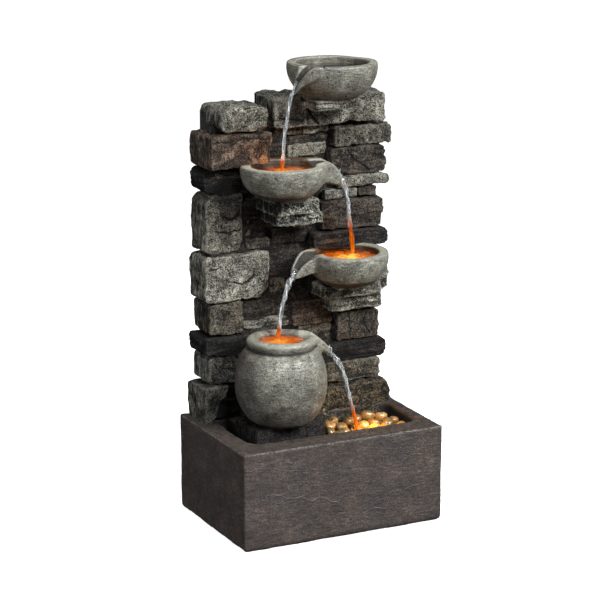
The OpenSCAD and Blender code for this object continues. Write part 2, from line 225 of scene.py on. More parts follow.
class Net:
    """A Principled material with short ways to add nodes. Sizes are in millimetres."""

    def __init__(self, name, **sockets):
        self.m = bpy.data.materials.new(name)
        self.m.use_nodes = True
        self.t = self.m.node_tree
        self.bsdf = self.t.nodes["Principled BSDF"]
        for k, value in sockets.items():
            self.bsdf.inputs[k.replace("_", " ")].default_value = value
        self.co = self.add("TexCoord").outputs["Object"]

    def add(self, kind, inputs=None, **props):
        n = self.t.nodes.new("ShaderNode" + kind)
        for k, value in props.items():
            setattr(n, k, value)
        for k, value in (inputs or {}).items():
            if isinstance(value, bpy.types.NodeSocket):
                self.t.links.new(value, n.inputs[k])
            else:
                n.inputs[k].default_value = value
        return n

    def grid(self, size, stretch=(1, 1, 1)):
        scale = [1000 / (size * s) for s in stretch]
        return self.add("Mapping", {"Vector": self.co, "Scale": scale}).outputs[0]

    def noise(self, size, detail=3.0, rough=0.6, stretch=(1, 1, 1), distort=0.0):
        return self.add(
            "TexNoise",
            {
                "Vector": self.grid(size, stretch), "Scale": 1.0, "Detail": detail, "Roughness": rough,
                "Distortion": distort
            }
        ).outputs["Fac"]

    def value(self, name):
        return self.add("Attribute", attribute_name=name).outputs["Fac"]

    def calc(self, op, a, b=0.5):
        return self.add("Math", {0: a, 1: b}, operation=op).outputs[0]

    def mul(self, a, b):
        return self.calc("MULTIPLY", a, b)

    def plus(self, a, b):
        return self.calc("ADD", a, b)

    def less(self, a, b):
        return self.calc("SUBTRACT", a, b)

    def most(self, a, b):
        return self.calc("MAXIMUM", a, b)

    def grey(self, x):
        return self.add("CombineColor", {"Red": x, "Green": x, "Blue": x}).outputs[0]

    def span(self, x, a, b, c=0.0, d=1.0):
        return self.add(
            "MapRange", {"Value": x, "From Min": a, "From Max": b, "To Min": c, "To Max": d}
        ).outputs["Result"]

    def ramp(self, x, *stops):
        n = self.add("ValToRGB", {"Fac": x})
        r = n.color_ramp
        while len(r.elements) < len(stops):
            r.elements.new(0.5)
        for e, (at, colour) in zip(r.elements, stops):
            e.position, e.color = at, linear(colour)
        return n.outputs["Color"]

    def mix(self, x, a, b, blend="MIX"):
        n = self.add("Mix", {0: x, 6: linear(a), 7: linear(b)}, data_type="RGBA", blend_type=blend)
        return n.outputs[2]

    def path(self, points, width, seed):
        """How near a point is to a line drawn on the front as (x, z) pairs from left to right."""
        x0, x1 = points[0][0], points[-1][0]
        split = self.add("SeparateXYZ", {"Vector": self.co})
        along = self.span(split.outputs["X"], x0 * 0.001, x1 * 0.001)
        line = self.ramp(along, *[((x - x0) / (x1 - x0), (z / 100, z / 100, z / 100, 1)) for x, z in points])
        shake = self.span(self.noise(5, 4.0, 0.7, distort=seed), 0.0, 1.0, -0.0018, 0.0018)
        height = self.plus(split.outputs["Z"], shake)
        off = self.calc("ABSOLUTE", self.less(height, self.mul(line, 0.1)))
        within = self.mul(self.calc("GREATER_THAN", along, 0.001), self.calc("LESS_THAN", along, 0.999))
        return self.mul(self.span(off, width * 0.001, width * 0.0004), within)

    def bump(self, height, depth, strength):
        n = self.add("Bump", {"Height": height, "Distance": depth * 0.001, "Strength": strength})
        self.set("Normal", n.outputs[0])

    def set(self, key, value):
        self.t.links.new(value, self.bsdf.inputs[key])


def stone_material(name, dark, mid, light, tint=(96, 78, 72), tint_amount=0.4, grain_size=1.25, contrast=1.7):
    """Cast stone, dark in its hollows and dry-brushed pale on its high spots and edges."""
    n = Net(name, Roughness=0.78, Specular_IOR_Level=0.22)
    half = 0.105 / contrast
    grain = n.span(n.noise(grain_size, 5.0, 0.8), 0.5 - half, 0.5 + half)
    streak = n.span(n.noise(2.4, 3.0, 0.6, (1, 1, 7)), 0.34, 0.66)
    grain = n.plus(n.mul(grain, n.less(1.0, n.value("side"))), n.mul(streak, n.value("side")))
    coarse = n.span(n.noise(4.6, 4.0, 0.75), 0.34, 0.66)
    height = n.plus(n.mul(n.value("relief"), 0.42), n.mul(grain, 0.4))
    height = n.plus(height, n.mul(coarse, 0.22))
    pale = srgb(*[min(255, c * 1.5) for c in light])
    base = n.ramp(height, (0.27, dark), (0.45, mid), (0.59, light), (0.78, pale))
    blotch = n.span(n.noise(26, 2.0, 0.5), 0.42, 0.62)
    base = n.mix(n.mul(blotch, tint_amount), base, n.mix(1.0, base, [min(255, c * 2.0) for c in tint], "MULTIPLY"))
    tone = n.span(n.noise(15, 2.0, 0.5), 0.3, 0.7, 0.62, 1.28)
    base = n.mix(1.0, base, n.grey(tone), "MULTIPLY")
    worn = n.mul(n.value("edge"), n.span(n.noise(2.0, 4.0, 0.75), 0.46, 0.58))
    base = n.mix(n.mul(worn, 0.7), base, [min(255, c * 1.45) for c in light])
    fissure = n.span(n.calc("ABSOLUTE", n.less(n.noise(9, 4.0, 0.6, (1, 1, 0.6), 0.4), 0.5)), 0.014, 0.004)
    fissure = n.mul(fissure, n.span(n.noise(14, 2.0, 0.5), 0.48, 0.56))
    pits = n.most(n.span(n.value("groove"), 0.15, 0.75), n.mul(fissure, 0.8))
    base = n.mix(pits, base, [c * 0.5 for c in dark])
    n.set("Base Color", base)
    n.bump(n.less(n.plus(grain, n.mul(coarse, 0.8)), fissure), 0.9, 0.85)
    return n.m


# dark, middle, light, tint, tint's amount, and for some the grain's size and contrast
PALETTES = {
    "grey": ((14, 14, 13), (68, 67, 61), (108, 106, 97), (112, 106, 98), 0.3),
    "tan": ((14, 13, 12), (66, 62, 55), (106, 101, 90), (116, 108, 96), 0.4),
    "brown": ((13, 11, 10), (62, 54, 47), (104, 93, 81), (122, 104, 98), 0.5),
    "umber": ((9, 8, 7), (48, 44, 40), (88, 82, 75), (118, 106, 100), 0.4),
    "charcoal": ((3, 3, 3), (15, 14, 14), (54, 52, 50), (114, 108, 104), 0.3),
    "olive": ((8, 8, 6), (40, 38, 31), (92, 87, 74), (112, 104, 94), 0.4, 1.6, 1.4),
    "pale": ((18, 18, 17), (88, 87, 80), (134, 133, 123), (114, 108, 100), 0.3),
    "flecked": ((10, 11, 10), (62, 63, 57), (146, 147, 137), (110, 106, 98), 0.3, 1.7, 1.5),
    # bright is a lighter copy of pale: the light stones' own tone, and painted light on the lower ledge, LEFT[0] and
    # CENTRE[4], which lie in shadow
    "bright": ((18, 18, 17), (98, 98, 90), (148, 147, 137), (116, 112, 106), 0.3),
    "mortar": ((3, 3, 3), (24, 22, 20), (66, 62, 56), (110, 102, 94), 0.3),
}
STONE = {k: stone_material(k if k == "mortar" else "stone_" + k, *looks) for k, looks in PALETTES.items()}


def concrete_material():
    n = Net("bowl_concrete", Coat_Roughness=0.3, Specular_IOR_Level=0.35)
    mottle = n.span(n.noise(13, 4.0, 0.6), 0.3, 0.7)
    fine = n.span(n.noise(1.1, 3.0, 0.7), 0.38, 0.62)
    brush = n.span(n.noise(1.5, 3.0, 0.65, (3.2, 3.2, 1)), 0.34, 0.66)
    height = n.plus(n.mul(mottle, 0.34), n.plus(n.mul(fine, 0.36), n.mul(brush, 0.3)))
    base = n.ramp(height, (0.2, (62, 61, 55)), (0.42, (106, 106, 96)), (0.62, (140, 140, 128)), (0.84, (182, 182, 168)))
    # painted shade: "low" darkens each bowl and the pot towards its foot, and the pot across its left side
    low = n.mul(n.value("low"), n.span(n.noise(14, 2.0, 0.5), 0.3, 0.65, 0.65, 1.0))
    base = n.mix(low, base, n.ramp(height, (0.12, (32, 29, 28)), (0.5, (72, 65, 62)), (0.85, (108, 99, 94))))
    worn = n.mul(n.value("edge"), n.span(n.noise(3, 3.0, 0.7), 0.3, 0.5))
    base = n.mix(n.mul(worn, 0.75), base, (180, 180, 166))
    holes = n.add("TexVoronoi", {"Vector": n.grid(3.4, (1.5, 1.5, 0.6)), "Scale": 1.0}).outputs["Distance"]
    spots = n.mul(n.span(holes, 0.16, 0.06), n.span(n.noise(9, 2.0, 0.5), 0.46, 0.56))
    # "groove" brings dark pits, and painted shade in the spouts' channels and the pot's neck crease
    pits = n.most(spots, n.span(n.value("groove"), 0.2, 0.8))
    base = n.mix(n.mul(pits, 0.86), base, (24, 23, 20))
    # painted shade: "within" darkens and browns the insides of the bowls' and the pot's mouths, and the bowls' rims
    # tucked under the wall
    base = n.mix(n.value("within"), base, n.mix(1.0, base, (138, 108, 78), "MULTIPLY"))
    n.set("Base Color", base)
    n.bump(n.less(n.plus(fine, n.mul(brush, 0.6)), n.mul(pits, 0.8)), 0.3, 0.6)
    n.set("Roughness", n.most(n.span(mottle, 0.0, 1.0, 0.38, 0.56), n.mul(pits, 0.95)))
    n.set("Coat Weight", n.span(pits, 0.0, 1.0, 0.3, 0.0))
    return n.m


# thin cracks on the basin's front, as (x, z) pairs in millimetres; a painted shadow runs just under each
BASIN_CRACKS = [
    [(-86, 57), (-70, 55), (-64, 50), (-48, 49.5), (-37, 44), (-26, 46), (-15, 40), (-7, 37)],
    [(-109, 84), (-95, 85.5), (-80, 84), (-66, 79), (-51, 77)],
    [(45, 37), (53, 40), (64, 39.5), (76, 42), (90, 43)],
    [(-66, 88), (-56, 84), (-50, 88), (-43, 80)],
    [(20, 22), (31, 26), (44, 23), (52, 27)],
    [(64, 70), (74, 76), (88, 74), (97, 79)],
]


def basin_material():
    n = Net("basin_resin", Roughness=0.66)
    mottle = n.span(n.noise(26, 5.0, 0.65), 0.3, 0.7)
    fine = n.span(n.noise(1.2, 4.0, 0.75), 0.36, 0.64)
    mid = n.span(n.noise(4, 4.0, 0.7, (1.8, 1.8, 0.6)), 0.32, 0.68)
    height = n.plus(n.mul(mottle, 0.3), n.plus(n.mul(fine, 0.42), n.mul(mid, 0.28)))
    base = n.ramp(height, (0.16, (28, 23, 21)), (0.43, (55, 46, 42)), (0.64, (78, 66, 60)), (0.86, (119, 105, 97)))
    cool = n.span(n.noise(38, 3.0, 0.6), 0.5, 0.62)
    base = n.mix(n.mul(cool, 0.5), base, n.mix(1.0, base, (216, 226, 246), "MULTIPLY"))
    streak = n.noise(2.2, 4.0, 0.7, (8, 8, 1), 0.5)
    base = n.mix(n.span(streak, 0.52, 0.7, 0.0, 0.36), base, (104, 97, 93))
    wander = n.noise(13, 4.0, 0.55, (1, 1, 0.45), 0.6)
    line = n.span(n.calc("ABSOLUTE", n.less(wander, 0.5)), 0.008, 0.002)
    line = n.mul(line, n.span(n.noise(17, 2.0, 0.5), 0.54, 0.6))
    front = n.calc("LESS_THAN", n.add("SeparateXYZ", {"Vector": n.co}).outputs["Y"], -0.074)
    ridge, painted_crack_shadow = 0.0, 0.0
    for k, points in enumerate(BASIN_CRACKS):
        ridge = n.most(ridge, n.path(points, 0.55 if k == 0 else 0.38, 0.2 * k))
        painted_crack_shadow = n.most(painted_crack_shadow, n.path([(x, z - 1.0) for x, z in points], 1.0 if k == 0 else 0.7, 0.2 * k))
    broken = n.mul(front, n.span(n.noise(6, 4.0, 0.7), 0.42, 0.56, 0.3, 1.0))
    ridge, painted_crack_shadow = n.mul(ridge, broken), n.mul(painted_crack_shadow, front)
    # painted shadow a millimetre under each crack
    base = n.mix(n.mul(painted_crack_shadow, 0.45), base, (30, 26, 24))
    base = n.mix(n.mul(ridge, 0.55), base, (150, 143, 137))
    base = n.mix(n.mul(line, 0.35), base, (136, 129, 123))
    salt = n.mul(n.span(n.noise(0.9, 3.0, 0.7), 0.6, 0.68), n.span(n.noise(20, 3.0, 0.6), 0.46, 0.6))
    base = n.mix(n.mul(salt, 0.65), base, (158, 152, 147))
    rim = n.ramp(
        n.plus(n.mul(fine, 0.6), n.mul(mid, 0.4)), (0.22, (16, 12, 10)), (0.5, (54, 45, 39)), (0.8, (96, 84, 75))
    )
    base = n.mix(n.value("relief"), base, rim)
    worn = n.mul(n.value("edge"), n.span(n.noise(2.6, 4.0, 0.75), 0.45, 0.55))
    base = n.mix(n.mul(worn, 0.7), base, (142, 134, 125))
    # painted shade: the basin's inner walls below the rim made near black
    base = n.mix(n.value("inside"), base, n.ramp(fine, (0.0, (5, 4, 4)), (1.0, (20, 18, 16))))
    n.set("Base Color", base)
    bumps = n.plus(n.mul(fine, 0.55), n.mul(mid, 0.8))
    n.bump(n.plus(bumps, n.plus(n.mul(ridge, 1.3), n.mul(line, 0.6))), 0.5, 0.75)
    return n.m


def plain_material(name, colour, rough, speck=0.25, size=1.6, depth=0.12, **sockets):
    """Moulded plastic, rubber or resin with a fine texture."""
    n = Net(name, Roughness=rough, **sockets)
    fine = n.noise(size, 3.0, 0.6)
    large = n.noise(24, 3.0, 0.5)
    dark, light = srgb(*[c * (1 - speck) for c in colour]), srgb(*[min(255, c * (1 + speck)) for c in colour])
    n.set("Base Color", n.ramp(n.plus(n.mul(fine, 0.5), n.mul(large, 0.5)), (0.35, dark), (0.65, light)))
    n.bump(fine, depth, 0.5)
    return n.m


def clear_material(name, tint, rough, ior):
    n = Net(name, Roughness=rough, IOR=ior, Transmission_Weight=1.0, Base_Color=srgb(*tint))
    n.bump(n.noise(3, 2.0, 0.5), 0.1, 0.3)
    return n.m


CONCRETE = concrete_material()
BASIN = basin_material()
SHELL = plain_material("shell_resin", (46, 43, 42), 0.7, 0.35, 2.2, 0.3)
BLACK = plain_material("black_plastic", (22, 22, 24), 0.42, 0.2, 0.7, 0.05)
CERAMIC = plain_material("rotor_ceramic", (208, 204, 196), 0.3, 0.06, 0.6, 0.02)
ROTOR = plain_material("rotor_plastic", (226, 224, 216), 0.38, 0.05, 0.8, 0.03)
RUBBER = plain_material("rubber", (28, 28, 28), 0.75, 0.2, 0.6, 0.06)
TUBE = clear_material("clear_tube", (225, 235, 235), 0.12, 1.42)


def lens_material():
    n = Net("lamp_lens", Roughness=0.2, Emission_Strength=6.0)
    glow = n.ramp(n.noise(2.0, 2.0, 0.5), (0.3, (255, 150, 30)), (0.7, (255, 190, 80)))
    n.set("Base Color", glow)
    n.set("Emission Color", glow)
    return n.m


NODE_MATERIALS = {
    "basin_feet": RUBBER,
    "suction_cups": RUBBER,
    "wall_shell": SHELL,
    "rear_door": SHELL,
    "riser_tube": TUBE,
    "rotor_shaft": CERAMIC,
    "pump_rotor": ROTOR,
    "flow_slider": plain_material("slider_plastic", (190, 64, 30), 0.4, 0.1, 0.7, 0.03),
    "led_lenses": lens_material(),
}
for name, node in NODES.items():
    for slot in node.material_slots:
        slot.material = NODE_MATERIALS.get(name, BLACK)

# ---- bowls and pot
# x, y, rim, base, rim radius, base radius and wall thickness
BOWLS = {
    "bowl_top": (29.7, 12, 461.5, 425.5, 44.5, 22, 9),
    "bowl_upper": (-26.5, 6, 364, 330, 42.6, 21, 11),
    "bowl_lower": (44.3, 5, 270.5, 236, 40.4, 21, 9.5),
}
POT = (-38.4, -12, 195.2)
POT_BASE = 107
CAST_STEP = FINE * 0.95  # lattice step of the bowls and the pot
TRAY_LEFT, TRAY_HEIGHT = 3.9, 134  # below this height the pot stays left of this x, for the tray to lift past it
PEBBLE_REACH = 47.6  # pebbles stay this far from the pot's middle
TOP = 461.4

# A spout runs from a to b. It has a half width at each end, near and far lips (where along it each starts to
# fall, how far it falls, how much it rises first), a channel depth at each end and a depth of its underside at
# each end. curl is 1 for lips that arch over and 0 for straight ones, and vee is set for a pointed channel.
# start is where its outside and its channel begin along it.
SPOUT_START = (-3, -13)
CHANNEL_WALL = 2.9
# FOOT_SHADE scales the painted shade towards each bowl's foot
FOOT_SHADE = {"bowl_top": 0.4, "bowl_upper": 0.8, "bowl_lower": 0.35}  # how dark each bowl is near its foot
SPOUTS = {
    "bowl_top": dict(
        a=(12, -12.6), b=(-19.6, -3), half=(18.5, 3.6), start=(9, 4), near=(0.3, 26.7, 0), far=(0.5, 17.5, 0.5),
        depth=(11, 5.5), under=(13.5, 34.6), curl=0.7, vee=1
    ),
    "bowl_upper": dict(
        a=(2, 2), b=(33, -1), half=(15, 4.6), near=(0.42, 17.5, 1.4), far=(0.45, 17, 0.6), depth=(7, 3.0),
        under=(19, 24.5), curl=0.8
    ),
    "bowl_lower": dict(
        a=(16, 10.5), b=(-19.5, -0.2), half=(13, 5), near=(0.24, 20, 0), far=(0.42, 17.5, 2.0), depth=(7.5, 3.6),
        under=(17, 21.5), curl=0.75
    ),
    "pot": dict(
        a=(-18, -12.6), b=(14.8, -13.9), half=(13.5, 7.2), near=(0.22, 21.6, 0.4), far=(0.3, 20.6, 1.2),
        depth=(4.4, 2.0), under=(13, 28.6), curl=0.95
    ),
}


def bowl_radius(z, rim, base, rim_r, base_r):
    t = np.clip((z - base) / (rim - base), 0, 1)
    return (base_r + (rim_r + 0.9 - base_r) * (1 - (1 - t) ** 2.6) ** 0.8) * (1 - 0.01 * smooth(0.8, 1.0, t))


def bowl_outside(p, name):
    x, y, rim, base, rim_r, base_r = BOWLS[name][:6]
    rho = radius(p, x, y)
    d = (rho - bowl_radius(p[..., 2], rim, base, rim_r, base_r)) * 0.88
    return smax(smax(d, p[..., 2] - rim, 1.5), base - p[..., 2], 5)


def lip_height(s, rim, edge, curl):
    """Height of one of a spout's lips from its root, s 0, to its tip, s 1."""
    start, drop, rise = edge
    t = np.clip((s - start) / (1 - start), 0, 1)
    fall = curl * (1 - np.sqrt(1 - (0.97 * t) ** 2)) / 0.757 + (1 - curl) * t**1.15
    return rim + rise * np.sin(pi * np.clip(s / (start + 0.35), 0, 1)) - drop * fall


def spout(p, name, rim):
    """(the spout's outside, its channel, height above its lips) at the points p."""
    k = SPOUTS[name]
    ax, ay = k["a"]
    dx, dy = k["b"][0] - ax, k["b"][1] - ay
    length = hypot(dx, dy)
    dx, dy = dx / length, dy / length
    u = (p[..., 0] - ax) * dx + (p[..., 1] - ay) * dy
    v = (-(p[..., 0] - ax) * dy + (p[..., 1] - ay) * dx) * (1 if dx > 0 else -1)
    z = p[..., 2]
    s = np.clip(u / length, 0, 1)
    far = smooth(-2.5, 2.5, v)
    top = lip_height(s, rim, k["near"], k["curl"]) * (1 - far) + lip_height(s, rim, k["far"], k["curl"]) * far
    half = k["half"][0] + (k["half"][1] - k["half"][0]) * s ** (1.0 if k.get("vee") else 1.4)
    under, tip_under = k["under"]
    sink = s if under > 15 else 1 - np.sqrt(1 - (0.97 * s) ** 2)
    low = rim - under - (tip_under - under) * sink + 0.02 * v * v
    body = smax(smax(np.abs(v) - half, z - top, 1.4), smax(low - z, u - (length - v * v / 24), 1.6), 2.0)
    body = smax(body, k.get("start", SPOUT_START)[0] - u, 2)
    inner = half - CHANNEL_WALL
    cross = np.clip(np.abs(v) / np.maximum(inner, 1), 0, 2)
    depth = k["depth"][0] + (k["depth"][1] - k["depth"][0]) * s
    floor = top - depth * (1 - (cross if k.get("vee") else cross**2.4))
    trough = smax(np.abs(v) - inner, floor - z, 1.2)
    return body, smax(trough, k.get("start", SPOUT_START)[1] - u, 1), z - top


def spout_point(name, rim, s, up=1.0):
    """A point on the middle of the channel's floor, a little above it."""
    k = SPOUTS[name]
    (ax, ay), (bx, by) = k["a"], k["b"]
    top = (lip_height(s, rim, k["near"], k["curl"]) + lip_height(s, rim, k["far"], k["curl"])) / 2
    depth = k["depth"][0] + (k["depth"][1] - k["depth"][0]) * s
    return np.array([ax + (bx - ax) * s, ay + (by - ay) * s, min(float(top - depth), rim - 4.6) + up])


def concrete(v, q, seed, top, bottom, lip, within):
    """Fine pits and waves over a bowl's surface, with the values its material reads."""
    n = normals(v, q)
    large = fbm(v / 17, seed, 3)
    fine = fbm(v / 2.6, seed + 7, 3)
    pits = smooth(0.6, 0.85, noise(v / [2.6, 2.6, 1.3], seed + 19))
    v = v + n * (0.45 * large + 0.22 * fine - 0.4 * pits)[:, None]
    # low is painted shade, darker towards the foot
    low = smooth(0.5, 0.02, (v[:, 2] - bottom) / (top - bottom) + 0.08 * large)
    return v, {
        "relief": 0.5 + 0.5 * fine, "edge": np.clip(lip, 0, 1), "groove": 0.8 * pits, "low": low, "within": within
    }


for name, (x, y, rim, base, rim_r, base_r, wall) in BOWLS.items():
    h = CAST_STEP
    tip = SPOUTS[name]["b"]
    p, lo = sample(
        (min(x - rim_r, tip[0]) - 4, y - rim_r - 3, base - 1), (max(x + rim_r, tip[0]) + 4, y + rim_r + 3, rim + 4), h
    )
    w = warped(p, 30, 0.6, 5 + len(name))
    body, trough, _ = spout(w, name, rim)
    outside = smin(bowl_outside(w, name), body, 5.0)
    rho = radius(w, x, y)
    inside = smax(rho - (bowl_radius(w[..., 2], rim, base, rim_r, base_r) - wall), base + 8 - w[..., 2], 8)
    field = smax(smax(outside, -inside, 2.4), -trough, 1.4)
    v, q = skin(field, lo, h)
    v = relax(v, q, 2, 0.45)
    rho = radius(v, x, y)
    n = normals(v, q)
    _, trough, above = spout(v, name, rim)
    on_spout = smooth(rim_r - 4, rim_r + 2, rho)
    lip = smooth(-2.0, -0.4, v[:, 2] - rim) * smooth(0.15, 0.7, n[:, 2]) * (1 - on_spout)
    lip = lip + smooth(-2.4, -0.4, above) * on_spout * (np.abs(trough) < 3.5)
    # painted shade inside the mouth, below the rim
    within = smooth(rim_r - wall + 2.4, rim_r - wall + 0.6, rho) * smooth(rim - 0.2, rim - 1.8, v[:, 2])
    # painted shade in the spout's channel, carried in "groove"
    channel = smooth(2.4, 1.2, trough) * smooth(-0.2, -1.0, above) * smooth(rim_r - wall - 3, rim_r - wall, rho)
    if name == "bowl_top":
        within = 0.35 * within
        lip = 0.5 * lip
    else:
        # painted shade on the rim's top where it tucks under the wall
        within = np.maximum(within, smooth(25, 33, v[:, 1] + 9 * smooth(34, 24, v[:, 0])) * smooth(-0.2, 0.5, n[:, 2]))
    v, values = concrete(v, q, len(name) * 3, rim, base, lip, within * (1 - channel))
    values["groove"] = np.maximum(values["groove"], channel)
    # the painted foot shade, scaled for each bowl; the top bowl is darkened a little all over
    values["low"] = np.clip(values["low"] * FOOT_SHADE[name], 0.24 * (name == "bowl_top"), 1)
    v[:, 2] = np.minimum(v[:, 2], TOP)
    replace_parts(piece(name + "_cast", v, q, CONCRETE, attributes=values), name)

POT_OUT = [
    (107, 22), (108, 27), (112, 33), (118, 37.6), (124, 41), (130, 43.5), (137, 45.2), (144, 45.9), (152, 45.9),
    (158, 45.6), (163, 45), (168, 44), (172, 42.8), (176, 41), (179, 39), (181.5, 36.6), (183.5, 33.8), (185, 32.4),
    (186.4, 32.6), (188.6, 33.9), (191.4, 34.3), (193.8, 33.2), (195.2, 31)
]
POT_IN = [(115, 25), (128, 35), (150, 38), (170, 35), (182, 27), (189, 22.4), (192.6, 22.6), (195.2, 25.4)]
h = CAST_STEP
p, lo = sample((POT[0] - 49, POT[1] - 49, 105), (POT[0] + 60, POT[1] + 49, 199), h)
w = warped(p, 34, 0.9, 77)
rho, z = radius(w, *POT[:2]), w[..., 2]
body, trough, _ = spout(w, "pot", POT[2] - 2)
field = smax(smax((rho - np.interp(z, *zip(*POT_OUT))) * 0.9, z - POT[2], 2.4), POT_BASE - z, 3)
field = smin(field, body, 4.5)
field = smax(field, -smax(rho - np.interp(z, *zip(*POT_IN)), 115 - z, 5), 2.4)
field = smax(field, -trough, 1.6)
field = smax(field, np.minimum(w[..., 0] - TRAY_LEFT, TRAY_HEIGHT - z), 1.2)
v, q = skin(field, lo, h)
v = relax(v, q, 2, 0.5)
rho = radius(v, *POT[:2])
n = normals(v, q)
_, _, above = spout(v, "pot", POT[2] - 2)
lip = smooth(187, 194, v[:, 2]) * smooth(24, 30, rho) * 0.6 + smooth(-3, -0.5, above) * smooth(32, 40, rho) * 0.7
# the last value is painted shade inside the pot's mouth
v, values = concrete(v, q, 41, POT[2], POT_BASE, lip, 0.6 * smooth(25.5, 24, rho) * smooth(194, 191, v[:, 2]))
# painted shade in the crease under the pot's lip
values["groove"] = np.maximum(
    values["groove"], 0.9 * np.exp(-(((v[:, 2] - 184.8) / 1.8) ** 2)) * (rho > 29) * (rho < 36)
)
# painted shade: the pot darker towards its foot and across its left side, which faces away from the key light
values["low"] = smooth(0.8, -0.12, (v[:, 2] - POT_BASE) / 84.6 + 0.06 * fbm(v / 20, 4, 2))
shaded = smooth(12, 44, (POT[0] - v[:, 0]) * 0.93 + (v[:, 1] - POT[1]) * 0.36)
values["low"] = np.maximum(values["low"], 0.85 * shaded * (v[:, 2] < 188))
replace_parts(piece("pot_cast", v, q, CONCRETE, attributes=values), "pot")


# ---- stones
def layers(p, thick, seed):
    """Broken strata: each layer steps in or out on its own."""
    t = p[:, 2] / thick + 0.7 * noise(p / 40, seed + 3) + 0.22 * noise(p / 9, seed + 5)
    k = np.floor(t)
    f = t - k
    across = p[:, :2] / 17

    def step(j):
        return noise(np.stack([across[:, 0] + 7.31 * j, across[:, 1] - 3.17 * j, j * 1.7 + 0.5], -1), seed + 11)

    blend = smooth(0.72, 0.98, f)
    crack = np.exp(-(((f - 0.86) / 0.09) ** 2))
    return step(k) * (1 - blend) + step(k + 1) * blend, crack


def facets(p, size, seed):
    """Chipped faces: flat patches, each tilted its own way, from the nearest of scattered points."""
    c = np.floor(p / size).astype(np.int64)
    best = np.full(len(p), 1e9)
    second = np.full(len(p), 1e9)
    tilt = np.zeros(len(p))
    for near in np.ndindex(3, 3, 3):
        i = c + near - 1
        jit = np.stack([lattice(i[:, 0], i[:, 1], i[:, 2], seed + k) for k in range(3)], -1)
        at = (i + 0.5 + 0.45 * jit) * size
        d = p - at
        dist = np.einsum("ij,ij->i", d, d)
        lean = np.stack([lattice(i[:, 0], i[:, 1], i[:, 2], seed + 9 + k) for k in range(3)], -1)
        new = dist < best
        second = np.where(new, best, np.minimum(second, dist))
        tilt = np.where(new, np.einsum("ij,ij->i", d, lean) / size + 0.4 * lean[:, 0], tilt)
        best = np.minimum(best, dist)
    gap = (np.sqrt(second) - np.sqrt(best)) / size
    return tilt, gap


def crack_line(p, points, width, seed):
    """How near each point is to a broken line drawn on the front, as (x, z) pairs, from 0 to 1."""
    x = p[:, 0] + 1.1 * noise(p / 5.0, seed)
    z = p[:, 2] + 1.1 * noise(p / 5.0, seed + 1)
    near = np.full(len(p), 1e9)
    for (ax, az), (bx, bz) in zip(points, points[1:]):
        lx, lz = bx - ax, bz - az
        t = np.clip(((x - ax) * lx + (z - az) * lz) / (lx * lx + lz * lz), 0, 1)
        near = np.minimum(near, np.hypot(x - ax - t * lx, z - az - t * lz))
    return np.exp(-((near / width) ** 2))


def creases(p, size, seed):
    """Sharp-crested swells, as on broken rock, about -0.6 to 1."""
    return 1 - 2.6 * np.abs(noise(p / size, seed)) - 0.6 * np.abs(noise(p * 2.3 / size, seed + 9))


def weather(v, q, style, seed, lo, hi, cracks=()):
    """Moves a stone's surface by its style and returns it with the values its material reads."""
    n = normals(v, q)
    fine = fbm(v / 2.5, seed + 1, 3)
    broad = fbm(v / 24, seed + 2, 2)
    groove = np.zeros(len(v))
    upright = 1 - np.abs(n[:, 2]) ** 2
    if style == "slate":
        step, crack = layers(v, 4.4, seed)
        d = 1.9 * step * upright - 1.3 * crack * upright + 0.5 * broad + 0.5 * fine
        relief = 0.42 + 0.5 * step + 0.34 * fine
        groove = 0.85 * crack * upright
    elif style == "strata":
        step, crack = layers(v, 8.5, seed)
        ridge = creases(v * [0.5, 0.5, 1], 8, seed + 4)
        d = 1.6 * step * upright - 0.9 * crack * upright + 0.8 * ridge + 0.4 * broad + 0.6 * fine
        relief = 0.44 + 0.26 * step + 0.2 * ridge + 0.36 * fine
        groove = 0.6 * crack * upright
    elif style == "chip":
        tilt, gap = facets(v * [0.7, 0.7, 1], 14, seed)
        ridge = creases(v, 15, seed + 4)
        d = 1.1 * tilt + 1.1 * ridge + 0.6 * fine - 0.3
        relief = 0.44 + 0.16 * tilt + 0.24 * ridge + 0.36 * fine
    elif style == "rubble":
        small, gap = facets(v, 4.2, seed + 50)
        ridge = creases(v, 9, seed + 4)
        d = 1.2 * small + 0.8 * ridge + 0.75 * fine - 0.2
        relief = 0.4 + 0.26 * small + 0.2 * ridge + 0.38 * fine
        groove = 0.35 * smooth(0.1, 0.0, gap)
    else:
        pits = smooth(0.4, 0.8, noise(v / 2.6, seed + 6))
        ridge = creases(v, 11, seed + 4)
        d = 0.5 * broad + 0.7 * ridge + 0.55 * fine - 0.6 * pits
        relief = 0.46 + 0.34 * fine + 0.2 * ridge - 0.25 * pits
        groove = 0.4 * pits
    for line in cracks:
        near = crack_line(v, line[2:], line[0], seed) * smooth(-0.1, -0.45, n[:, 1])
        d = d - line[1] * near
        groove = np.maximum(groove, 0.8 * near * (line[1] > 0))
        relief = relief - 0.3 * near
    centre, half = (lo + hi) / 2, (hi - lo) / 2
    gap = np.sort(np.abs(v - centre) - half, axis=1)
    edge = smooth(-2.8, -0.4, gap[:, 1] + 0.9 * fine)
    side = smooth(0.75, 0.95, -n[:, 0])
    left = smooth(-0.5, -0.85, n[:, 0])
    # painted shade: left-facing sides made darker, the rubble ledge's much darker
    relief = relief - (0.6 if style == "rubble" else 0.12) * left
    return v + n * (d * (1 - 0.5 * left))[:, None], {
        "relief": np.clip(relief, 0, 1), "edge": edge, "groove": np.clip(groove, 0, 1), "side": side
    }


WALL_SHELL = (-82.5, 90.5, 47.6, 101, 410.5)  # its left, right, front, foot and top, which no stone enters


